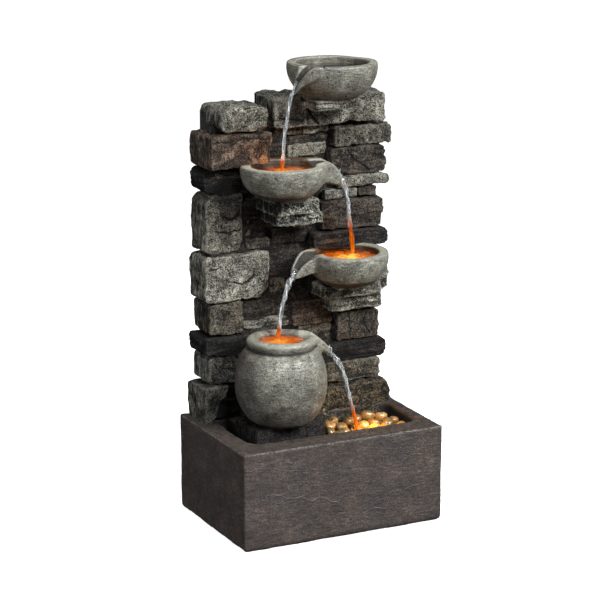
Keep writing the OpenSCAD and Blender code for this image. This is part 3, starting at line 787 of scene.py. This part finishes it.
def stone(name, node, lo, hi, style, palette, seed, end=0.0, wild=0.8, cracks=(), cuts=(), step=FINE, corner=2.0):
    """A rough block in the box lo to hi. end is the rounding of its left (minus) or right (plus) end, and cuts
    are planes (point, normal): what lies outside them is broken off."""
    lo, hi = np.array(lo, float), np.array(hi, float)
    # one within the wall's outline stops just behind its face
    if lo[0] > -84 and hi[0] < 92 and hi[2] < 411 and hi[1] > 60:
        hi[1] = 52.0
    p, start = sample(lo - 2, hi + 2, step)
    w = warped(warped(p, 19, wild, seed), 6.5, wild * 0.5, seed + 55)
    centre, half = (lo + hi) / 2, (hi - lo) / 2 + 0.2
    r = min(corner, half.min() * 0.8)
    m = np.abs(w - centre) - (half - r)
    field = np.linalg.norm(np.maximum(m, 0), axis=-1) + np.minimum(m.max(-1), 0) - r
    if end:
        r = min(abs(end), half[2] * 0.9)
        across = (w[..., 0] - centre[0]) * np.sign(end) - (half[0] - r)
        tall = np.abs(w[..., 2] - centre[2]) - (half[2] - r)
        field = np.maximum(field, np.hypot(np.maximum(across, 0), np.maximum(tall, 0)) - r)
    for point, normal in cuts:
        normal = np.array(normal, float) / np.linalg.norm(normal)
        field = smax(field, (w - np.array(point, float)) @ normal, 1.0)
    x, y, z = p[..., 0], p[..., 1], p[..., 2]
    x0, x1, y0, z0, z1 = WALL_SHELL
    shell = np.maximum.reduce([x0 - x, x - x1, y0 - y, z0 - z, z - z1])
    field = np.maximum(field, -shell)
    for b, (bx, by, rim, base, rim_r, *_rest) in BOWLS.items():
        if lo[2] < rim and hi[2] > base and lo[0] < bx + rim_r and hi[0] > bx - rim_r and lo[1] < by + rim_r:
            field = np.maximum(field, -(bowl_outside(p, b) + 1.5))
    v, q = skin(field, start, step)
    v, values = weather(v, q, style, seed, lo, hi, cracks)
    v = np.clip(v, [-109.9, -77, 1], [109.9, 77.4, 461])
    o = piece(name, v, q, STONE[palette], attributes=values)
    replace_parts(o, *node)


# style, palette, end rounding, extras, from the lowest up. A crack is its width, its depth (minus for a ridge)
# and its (x, z) points.
LEFT = [
    ("grain", "bright", -5, {}),
    ("slate", "charcoal", -4, {}),
    ("chip", "tan", -5, {}),
    (
        "chip", "bright", -6,
        {
            "cuts": [((-36, 0, 226), (0.72, 0, -0.7))],
            "cracks": [(1.5, 1.4, (-68, 243), (-60, 240), (-50, 243), (-44, 248)), (1.0, 1.0, (-93, 258), (-86, 257))]
        }
    ),
    (
        "chip", "pale", -5,
        {
            "cuts": [((-92, 0, 327), (-0.7, 0, 0.7))],
            "cracks": [(1.6, 2.0, (-76, 309), (-66, 306), (-58, 312)), (1.2, 1.4, (-84, 296), (-70, 292), (-58, 296))]
        }
    ),
    ("slate", "charcoal", -7, {}),
    (
        "chip", "brown", -4,
        {"cracks": [(0.7, 0.9, (-94, 386), (-60, 389), (-32, 387)), (1.4, -1.0, (-86, 364), (-60, 376))]}
    ),
]
CENTRE = [look.split() for look in (
    "strata tan, strata brown, slate pale, slate umber, grain bright, slate brown, grain grey, "
    "slate mortar, grain pale, strata tan, grain pale, slate umber, grain tan, grain pale"
).split(", ")]
RIGHT = [
    ("strata", "grey", 3, {}),
    ("slate", "charcoal", 6, {}),
    ("grain", "umber", 4, {"cracks": [(0.9, 1.6, (62, 172), (60, 199)), (0.9, 1.2, (84, 174), (78, 186), (80, 196))]}),
    ("strata", "pale", 4, {}),
    ("rubble", "pale", 5, {}),
    ("rubble", "charcoal", 4, {}),
    ("slate", "charcoal", 8, {}),
    ("strata", "umber", 4, {}),
    ("grain", "bright", 2, {}),
    ("grain", "umber", 3, {}),
    ("grain", "pale", 5, {}),
    ("strata", "umber", 4, {"cracks": [(1.1, 1.6, (56, 370), (66, 356), (82, 345))]}),
    ("rubble", "grey", 5, {}),
]
PLINTH = [
    ("chip", "pale", -4, {"cuts": [((-73, 0, 139), (0.88, 0, -0.47))]}), ("rubble", "olive", 0, {}),
    ("rubble", "olive", 3, {"cuts": [((100, 0, 124), (0.86, 0, 0.5))]})
]
for group, looks in (("left", LEFT), ("centre", CENTRE), ("right", RIGHT), ("plinth", PLINTH)):
    node = group + "_stones"
    for k, ((lo, hi), look) in enumerate(zip(islands(node), looks)):
        end, extra = (look[2], look[3]) if len(look) > 2 else (0, {"corner": 1.4})
        if (group, k) == ("plinth", 2):
            lo = lo + [0, -0.8, -12]
        elif (group, k) == ("plinth", 0):
            lo = lo + [0, -2, -11]
        stone(
            f"stone_{group}_{k + 1}", [node], lo, hi, look[0], look[1],
            1000 + 37 * k + 11 * len(group) + 500 * (group == "right"), end=end, **extra
        )

for node, style, palette, end, wild, extra in (
    (
        "top_slab", "chip", "pale", 7, 1.0,
        {"cracks": [(1.3, 2.2, (4, 426), (12, 412), (17, 404), (22, 397)), (1.0, 1.0, (-20, 405), (6, 402))]}
    ),
    ("capstone", "grain", "pale", -9, 1.0, {"cracks": [(0.8, 0.9, (-60, 418), (-34, 421))], "corner": 4.5}),
    ("ledge_top", "slate", "pale", 0, 0.5, {"corner": 1.0}),
    ("pot_slab", "grain", "charcoal", 0, 1.0, {"step": FINE * 1.4}),
):
    lo, hi = (np.array(c) * 1000 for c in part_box(node))
    if node == "ledge_top":
        lo, hi = lo + [-4, -6, 2], hi + [-6, 0, 3.4]
    stone(node + "_rough", [node], lo, hi, style, palette, 7 * len(node), end=end, wild=wild, **extra)
for node, palette, parts in (
    ("ledge_upper", "flecked", [((-33, 6, 302), (17, 50, 314)), ((-39, 0, 314), (10, 50, 328))]),
    # the lower ledge's bright palette is painted light against the lower bowl's shadow
    ("ledge_lower", "bright", [((34, 18, 205), (91, 50, 220)), ((23, 13, 220), (88, 50, 233))]),
):
    for k, (lo, hi) in enumerate(parts):
        cuts = [((-33, 0, 320), (-0.85, -0.5, 0.15))] if node == "ledge_upper" else []
        stone(
            f"{node}_{k + 1}", [node], lo, hi, "rubble" if cuts else "strata", palette, 90 + 13 * k + len(node),
            corner=1.6, cuts=cuts
        )

# dark filler that shows in the joints
h = 1.6 * FINE
p, start = sample((-92, 38, 99), (98, 52, 412), h)
w = warped(p, 11, 2.4, 301)
m = np.abs(w - [2.0, 60.0, 254.0]) - [89.5, 17.5, 153.0]
field = np.maximum(m.max(-1), p[..., 1] - 50)
for b in BOWLS:
    field = np.maximum(field, -(bowl_outside(p, b) + 1.5))
v, q = skin(field, start, h)
v, values = weather(v, q, "slate", 303, np.array([-88.0, 42, 100]), np.array([92.0, 77, 408]))
piece("joint_filler", v, q, STONE["mortar"], attributes=values)

# ---- basin, softened and weathered from its CAD shape
HALF_X, HALF_Y, POND_LEVEL = 110, 77.5, 87.2
me = NODES["basin"].data
me.calc_loop_triangles()
v = mesh_points(me)
tri = np.empty(len(me.loop_triangles) * 3, np.int32)
me.loop_triangles.foreach_get("vertices", tri)
h = 1.35 * FINE
grid = openvdb.FloatGrid.createLevelSetFromPolygons(
    v.astype(np.float32), tri.reshape(-1, 3).astype(np.uint32), transform=openvdb.createLinearTransform(h),
    halfWidth=7.0
)
low = np.floor(v.min(0) / h).astype(int) - 4
size = np.ceil(v.max(0) / h).astype(int) + 4 - low
field = np.zeros(size, np.float32)
grid.copyToArray(field, ijk=tuple(int(c) for c in low))
for axis in range(3):
    field = (np.roll(field, 1, axis) + 2 * field + np.roll(field, -1, axis)) / 4
p = np.stack(np.meshgrid(*[(low[k] + np.arange(size[k])) * h for k in range(3)], indexing="ij"), -1)
m = np.stack([np.abs(p[..., 0]) - 107.6, np.abs(p[..., 1]) - 75.1], -1)
wall = np.linalg.norm(np.maximum(m, 0), axis=-1) + np.minimum(m.max(-1), 0) - 2.4
foot = smax(wall, -p[..., 2], 7)
wall = np.maximum(wall, -wall - 7)
wall = smax(wall, np.maximum(-0.4 - p[..., 2], p[..., 2] - 100.6), 1.5)
notch = smax(smax(np.abs(p[..., 0] + 78) - 9, np.abs(p[..., 1] - 32) - 14, 5), 82 - p[..., 2], 2)
field = smax(np.minimum(field, wall), -notch, 2)
field = np.maximum(np.maximum(field, foot), 0.1 - p[..., 2])
v, q = skin(field, low * h, h)
n = normals(v, q)
out = np.maximum(np.abs(v[:, 0]) - HALF_X, np.abs(v[:, 1]) - HALF_Y)
# inside marks the inner walls below the rim, painted near black as shade
inside = smooth(-4.5, -9, out) * smooth(99.2, 96, v[:, 2])
rim = smooth(97.5, 99.5, v[:, 2])
d = 0.35 * fbm(v / 3.0, 21, 3) + 0.7 * fbm(v / 22, 22, 3) + rim * (0.5 * fbm(v / 7, 24, 2))
loose = smooth(-7, -12, out) * smooth(82, 98, v[:, 2]) * np.minimum(1.8 * fbm(v / 13, 25, 3), 0.5)
shift = loose[:, None] * n * [1, 1, 0]
v = v + n * np.where(inside > 0.5, np.minimum(d, 0.3), d)[:, None] + shift
v[:, 2] += 1.8 * rim * smooth(40, 110, v[:, 0]) * smooth(-60, 60, v[:, 1])
fray = 0.5 * noise(v / 2.2, 71)
edge = smooth(-1.3, -0.4, out + fray) * smooth(98.6, 99.8, v[:, 2])
corner = smooth(-2.0, -0.5, np.abs(v[:, 1]) - HALF_Y)
edge = edge + 0.4 * smooth(-2.0, -0.5, np.abs(v[:, 0]) - HALF_X + fray) * corner
v = np.clip(v, [-HALF_X, -HALF_Y, 0.1], [HALF_X, HALF_Y, 103])
basin = piece(
    "basin_cast", v, q, BASIN, attributes={"edge": np.clip(edge, 0, 1), "inside": inside, "relief": rim},
)
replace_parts(basin, "basin")


# ---- pebbles
def pebble_material():
    n = Net("pebble", Roughness=0.24, Coat_Weight=0.8, Coat_Roughness=0.06)
    tone = n.ramp(
        n.value("tone"), (0.0, (108, 86, 54)), (0.28, (158, 128, 80)), (0.52, (196, 164, 108)), (0.78, (160, 112, 52)),
        (1.0, (126, 114, 90))
    )
    veins = n.span(n.noise(3.4, 3.0, 0.6, (1, 1, 0.6), 1.5), 0.4, 0.66, 0.62, 1.12)
    tone = n.mix(1.0, tone, n.grey(veins), "MULTIPLY")
    n.set("Base Color", tone)
    n.bump(n.noise(1.6, 2.0, 0.5), 0.08, 0.4)
    return n.m


def ball():
    rows, cols = 14, 22
    v = [(0, 0, 1)]
    for r in range(1, rows):
        a = pi * r / rows
        v += [(sin(a) * cos(2 * pi * c / cols), sin(a) * sin(2 * pi * c / cols), cos(a)) for c in range(cols)]
    v.append((0, 0, -1))
    last = len(v) - 1
    f = fan(rows - 1, cols) + [
        (last, 1 + (rows - 2) * cols + (c + 1) % cols, 1 + (rows - 2) * cols + c) for c in range(cols)
    ]
    return np.array(v, float), f


rng = np.random.default_rng(11)
unit, unit_faces = ball()
spots = [
    (12 + 12.6 * i + rng.uniform(-1.2, 1.2), -38.5 + 12.2 * j + rng.uniform(-1.2, 1.2), 85.2, rng.uniform(5.2, 6.2))
    for i in range(7) for j in range(5)
]
TOP_LAYER = (
    (20, -6, 94, 7.2), (29, 4, 93.5, 6.6), (30, -12, 92.5, 6.2), (44, -1, 94, 6.8), (56, 6, 93, 5.6),
    (68, 4, 94.5, 7.6), (81, -3, 93.5, 6.8), (52, -17, 92.5, 6.6), (66, -14, 92, 6.4), (78, -19, 92.5, 6.6),
    (56, -34, 92.5, 6.8), (42, -22, 91, 5.6), (70, -34, 92, 6.2), (26, -26, 91.5, 6.0), (16, -36, 91.5, 6.2),
    (86, -34, 92, 6.0), (40, -38.5, 92, 6.2), (28, -38.5, 91.5, 6.2), (12, -20, 92, 6.2), (88, -14, 92, 5.6)
)
spots += [(x + rng.uniform(-1, 1), y + rng.uniform(-1, 1), z, r) for x, y, z, r in TOP_LAYER]
pv, pf, tone = [], [], []
for k, (x, y, z, r) in enumerate(spots):
    shape = np.array([rng.uniform(1.0, 1.28), rng.uniform(0.82, 1.0), rng.uniform(0.62, 0.78)]) * r
    b = unit * shape
    b = b * (1 + 0.16 * fbm(unit * 1.2 + 17.0 * k, 3 + k, 2))[:, None]
    a, tilt = rng.uniform(0, pi), rng.uniform(-0.4, 0.4)
    turn = np.array([[cos(a), -sin(a), 0], [sin(a), cos(a), 0], [0, 0, 1]])
    lean = np.array([[1, 0, 0], [0, cos(tilt), -sin(tilt)], [0, sin(tilt), cos(tilt)]])
    b = b @ (turn @ lean).T + [x, y, z]
    b[:, 0] = np.clip(b[:, 0], 5.5, 95.5)
    b[:, 1] = np.clip(b[:, 1], -45.6, 21.5)
    away = b[:, :2] - POT[:2]
    b[:, :2] += away * (np.maximum(PEBBLE_REACH / np.linalg.norm(away, axis=1), 1) - 1)[:, None]
    pf += [tuple(i + len(unit) * k for i in f) for f in unit_faces]
    pv.append(b)
    tone += [rng.uniform(0, 1)] * len(unit)
stones = piece("pebbles_tumbled", np.concatenate(pv), pf, pebble_material(), "pebble_bed", {"tone": tone})
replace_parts(stones, "pebbles")


# ---- water
def pool_material(name, dark, mid, bright, light, reach, strength):
    """Still water over a lamp at light, in millimetres, its glow painted on: amber near it and nearly black far off, in
    its emission and, darker, in its base colour.
    """
    n = Net(name, Roughness=0.06, IOR=1.33, Coat_Weight=0.5, Emission_Strength=strength)
    here = n.add("VectorMath", {0: n.co, 1: [c * 0.001 for c in light]}, operation="DISTANCE").outputs["Value"]
    ripple = n.noise(7, 3.0, 0.6, (1, 1, 1), 0.8)
    far = n.plus(n.span(here, 0.0, reach * 0.001), n.span(ripple, 0.3, 0.7, -0.22, 0.22))
    # painted glow: amber emission near the lamp, and a base colour that darkens away from it as painted shade
    glow = n.ramp(far, (0.0, bright), (0.35, mid), (0.8, dark), (1.0, [c * 0.35 for c in dark]))
    n.set("Base Color", n.ramp(far, (0.0, [c * 0.6 for c in bright]), (0.5, [c * 0.5 for c in mid]), (1.0, (12, 9, 7))))
    n.set("Emission Color", glow)
    n.bump(ripple, 0.5, 0.5)
    return n.m


def pool(name, x, y, z, wide, material, landing):
    """A round water surface with rings round the place where the fall lands."""
    rows, cols = 40, 72
    v = [(x, y, z)]
    for r in range(1, rows + 1):
        for c in range(cols):
            a = 2 * pi * c / cols
            v.append((x + wide * r / rows * cos(a), y + wide * r / rows * sin(a), z))
    v = np.array(v, float)
    away = radius(v, *landing[:2])
    v[:, 2] += 0.55 * np.cos(away * 1.15) * np.exp(-away / 12) + 0.35 * fbm(v / 6, 8, 3)
    return piece(name, v, fan(rows, cols), material)


# the bowl each fall leaves, its rim, where the fall lands, its first and last radius, how far along the
# channel it first shows and how far down it the painted amber glow of the lamps below begins
STREAMS = [
    ("stream_top", "bowl_top", 461.5, (-30.5, 2, 358.5), 2.3, 1.6, 0.84, 0.84),
    ("stream_upper", "bowl_upper", 364, (53, 10, 265), 2.8, 2.0, 0.86, 0.5),
    ("stream_lower", "bowl_lower", 270.5, (-35.5, 2, 190), 3.0, 2.0, 0.86, 0.8),
    ("stream_pot", "pot", 193.2, (40, -27, 88), 2.8, 1.7, 0.9, 0.62),
]
painted_glow_colours = ((58, 26, 7), (196, 92, 12), (255, 196, 78))
pool(
    "water_upper", -26.5, 6, 358.8, 32.4, pool_material("water_painted_glow_upper", *painted_glow_colours, (-28, -8, 358), 40, 1.0),
    STREAMS[0][3]
)
pool(
    "water_lower", 44.3, 5, 266, 32.2, pool_material("water_painted_glow_lower", *painted_glow_colours, (40, -6, 265), 42, 1.35),
    STREAMS[1][3]
)
pool(
    "water_pot", -38.4, -12, 190.4, 23.5,
    pool_material("water_painted_glow_pot", (90, 36, 6), (198, 88, 12), (240, 146, 40), (-42, -16, 190), 40, 1.0),
    STREAMS[2][3]
)
pool(
    "water_top", 29.7, 12, 455, 36,
    pool_material("water_dark", (14, 12, 11), (26, 24, 22), (40, 38, 34), (29.7, 12, 455), 60, 0.0), (29.7, 12)
)

# the basin's water, ringed where the pot's stream lands
gx, gy = np.meshgrid(np.linspace(-87.5, 97.5, 125), np.linspace(-47.5, 23.5, 51), indexing="ij")
away = np.hypot(gx - 40, gy + 27)
p = np.stack([gx, gy, np.full_like(gx, POND_LEVEL)], -1)
p[..., 2] += 0.6 * np.cos(away * 1.0) * np.exp(-away / 14) + 0.3 * fbm(p / 8, 14, 3)
i = np.arange(gx.size).reshape(gx.shape)
q = np.stack([i[:-1, :-1], i[1:, :-1], i[1:, 1:], i[:-1, 1:]], -1).reshape(-1, 4)
pond = pool_material("water_painted_glow_basin", (6, 4, 3), (170, 84, 8), (255, 186, 50), (31, -34, 88), 26, 1.0)
piece("water_basin", p.reshape(-1, 3), q, pond)


def clear_water(name, amount, colour, strength):
    """Falling water: clear, with white foam streaks that glow faintly as a painted highlight, and a painted amber glow
    where the lamps below light it.
    """
    n = Net(name, Roughness=0.04, IOR=1.33)
    lit = n.value("lit")
    hue = n.span(lit, 0.0, 0.4)
    n.set("Transmission Weight", n.span(lit, 0.0, 1.0, 0.9, 0.25))
    n.set("Specular IOR Level", n.span(lit, 0.0, 0.3, 0.5, 0.04))
    foam = n.span(n.noise(1.8, 3.0, 0.65, (1, 1, 6)), 0.5, 0.66)
    n.set(
        "Base Color",
        n.mix(hue, n.ramp(foam, (0.0, (206, 212, 214)), (1.0, (252, 253, 255))), [c * 0.7 for c in colour])
    )
    n.set("Emission Color", n.mix(hue, (0.86, 0.89, 0.92, 1), colour))
    # painted glow: amber emission low on the fall, and a faint white glow on the foam streaks as a painted highlight
    amber = n.mul(lit, n.plus(n.mul(foam, strength * 1.2), strength * 0.5))
    n.set("Emission Strength", n.plus(amber, n.mul(n.mul(foam, n.less(1.0, lit)), amount)))
    n.bump(n.noise(1.6, 2.0, 0.6, (1, 1, 4)), 0.4, 0.6)
    return n.m


FALL_STEPS = 58
WATER = clear_water("water_falling", 0.22, (228, 112, 12), 0.5)


def stream(name, bowl, rim, land, r0, r1, start, glow, seed):
    """A fall as twisted strands that run down the channel, leave the lip and narrow as they speed up."""
    run = [spout_point(bowl, rim, k) for k in np.linspace(start, 1.02, 14)]
    tip, land = run[-1], np.array(land, float)
    fall = tip[2] - land[2]
    path = list(run)
    for k in np.linspace(0, 1, FALL_STEPS)[1:]:
        across = tip[:2] + (land[:2] - tip[:2]) * k**0.6
        path.append(np.array([across[0], across[1], tip[2] - fall * k**1.12]))
    t = np.concatenate([np.linspace(0, 0.12, len(run)), np.linspace(0.12, 1, FALL_STEPS)[1:]])
    path = np.array(path)
    along = np.gradient(path, axis=0)
    along /= np.linalg.norm(along, axis=1, keepdims=True)
    side = np.cross(along, [0.3, 0.95, 0.1])
    side /= np.linalg.norm(side, axis=1, keepdims=True)
    up = np.cross(side, along)
    v, f, lit = [], [], []
    ring = 14
    for strand, (turns, phase, offset, share) in enumerate((
        (1.3, 0.0, 0.0, 1.0), (2.1, 0.4, 0.85, 0.46), (1.7, 3.3, 0.95, 0.42)
    )):
        base = len(v)
        for k, s in enumerate(t):
            body = r0 + (r1 - r0) * min(1, s * 1.6) ** 0.8
            wob = 1 + 0.22 * sin(s * 37 + seed * 1.7 + strand) + 0.14 * sin(s * 83 + seed)
            a0 = turns * 2 * pi * s + phase
            centre = path[k] + offset * body * (cos(a0) * side[k] + 0.6 * sin(a0) * up[k])
            wide, thin = share * body * wob * (1.5 - 4 * min(s, 0.125)), share * body * (0.45 + 3 * min(s, 0.125))
            for c in range(ring):
                a = 2 * pi * c / ring
                q2 = wide * cos(a), thin * sin(a)
                cosa, sina = cos(a0 * 0.5), sin(a0 * 0.5)
                v.append(centre + side[k] * (q2[0] * cosa - q2[1] * sina) + up[k] * (q2[0] * sina + q2[1] * cosa))
                lit.append(float(np.clip((s - glow) / (0.97 - glow), 0, 1)) ** 1.2)
        n = len(t)
        for k in range(n - 1):
            for c in range(ring):
                a, b = base + k * ring + c, base + k * ring + (c + 1) % ring
                f.append((a, b, b + ring, a + ring))
        f.append(tuple(base + c for c in reversed(range(ring))))
        f.append(tuple(base + (n - 1) * ring + c for c in range(ring)))
    return piece(name, np.array(v), f, WATER, attributes={"lit": lit})


for k, fall in enumerate(STREAMS):
    stream(*fall, k)

# ---- floor, lights, camera
bpy.ops.mesh.primitive_plane_add(size=14, location=(0, 0, 0))
floor = bpy.context.object
floor.name = "floor"
PAPER = 0.93
ground = Net(
    "floor_white", Roughness=0.6, Base_Color=(PAPER,) * 3 + (1,), Emission_Color=(1,) * 4, Emission_Strength=PAPER
)
floor.data.materials.append(ground.m)
floor.visible_diffuse = False
floor.visible_glossy = False

world = scene.world or bpy.data.worlds.new("studio")
scene.world = world
world.use_nodes = True
wt = world.node_tree
wt.nodes.clear()
rays, both, wout = (wt.nodes.new("ShaderNode" + kind) for kind in ("LightPath", "MixShader", "OutputWorld"))
for k, (tint, strength) in enumerate((((0.97, 0.98, 1.0, 1), 0.1), ((1, 1, 1, 1), 1.0))):
    sky = wt.nodes.new("ShaderNodeBackground")
    sky.inputs[0].default_value, sky.inputs[1].default_value = tint, strength
    wt.links.new(sky.outputs[0], both.inputs[1 + k])
wt.links.new(rays.outputs["Is Camera Ray"], both.inputs[0])
wt.links.new(both.outputs[0], wout.inputs[0])


def aim(o, direction):
    o.rotation_mode = "QUATERNION"
    o.rotation_quaternion = direction.to_track_quat("-Z", "Y")


def lamp(name, at, target, size, power):
    data = bpy.data.lights.new(name, "AREA")
    data.shape, data.size, data.energy = "SQUARE", size, power
    o = place(name, data, at)
    aim(o, Vector(target) - Vector(at))
    return o


lamp("key", (0.75, -1.55, 1.35), (0, 0, 0.22), 0.6, 58)
lamp("side", (1.8, -0.4, 0.9), (0, 0, 0.25), 0.8, 7)
lamp("top", (-0.2, -0.1, 1.9), (0, 0, 0.2), 0.8, 12)
lamp("left", (-1.8, -0.7, 0.8), (0, 0, 0.2), 0.9, 9.5)
lamp("shine", (-0.3, -1.5, 1.5), (-0.04, 0, 0.16), 0.3, 45).visible_diffuse = False
for name, at, power in (
    ("glow_upper", (-38, 21, 366), 0.026), ("glow_lower", (38, 24, 274), 0.022), ("glow_pot", (-40, 2, 194), 0.004),
    ("glow_pebbles", (52, -34, 100), 0.11)
):
    data = bpy.data.lights.new(name, "POINT")
    data.energy, data.color, data.shadow_soft_size = power, (1.0, 0.5 if "pebbles" in name else 0.42, 0.06), 0.012
    place(name, data, [c * 0.001 for c in at]).visible_glossy = False

AZIMUTH, ELEVATION, DISTANCE, LENS = -26.45, 14.26, 2.275, 137.1
a, e = radians(AZIMUTH), radians(ELEVATION)
back = Vector((sin(a) * cos(e), -cos(a) * cos(e), sin(e)))
target = Vector((-0.0114, 0.0, 0.2267))
cam = place("camera", bpy.data.cameras.new("camera"), target + back * DISTANCE)
aim(cam, -back)
cam.data.sensor_width = 36
cam.data.lens = LENS
cam.data.clip_end = 50
scene.camera = cam
scene.view_settings.view_transform = "Standard"
